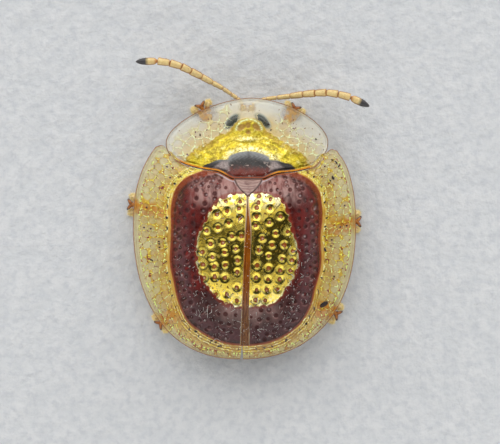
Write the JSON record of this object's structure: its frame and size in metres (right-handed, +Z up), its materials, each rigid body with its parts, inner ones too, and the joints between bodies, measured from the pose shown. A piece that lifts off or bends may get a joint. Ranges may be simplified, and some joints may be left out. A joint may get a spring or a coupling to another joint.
{
  "type": "tortoise beetle model",
  "caption": "Life-size still model of a gold-spotted tortoise beetle standing on its feet, with a clear shield and brim, a maroon back and a gold patch.",
  "frame": {"origin": "on the floor, under the middle of the beetle's box from above", "axes": "+Z up from the floor, -Y towards the head, +X towards the beetle's left side"},
  "size_m": [0.0112, 0.0139, 0.0045],
  "materials": {
    "maroon_shell": "glossy",
    "amber_shield": "glossy, partly clear",
    "brown_body": "satin",
    "tan_limb": "satin",
    "dark_eye": "glossy"
  },
  "bodies": {
    "root": {"elytron_left": "maroon_shell", "elytron_right": "maroon_shell", "scutellum": "maroon_shell", "pronotum": "amber_shield", "thorax": "brown_body", "abdomen": "brown_body", "head": "tan_limb", "eye_left": "dark_eye", "eye_right": "dark_eye", "antenna_left": "tan_limb", "antenna_right": "tan_limb", "leg_front_left": "tan_limb", "leg_front_right": "tan_limb", "leg_mid_left": "tan_limb", "leg_mid_right": "tan_limb", "leg_hind_left": "tan_limb", "leg_hind_right": "tan_limb"}
  },
  "joints": []
}
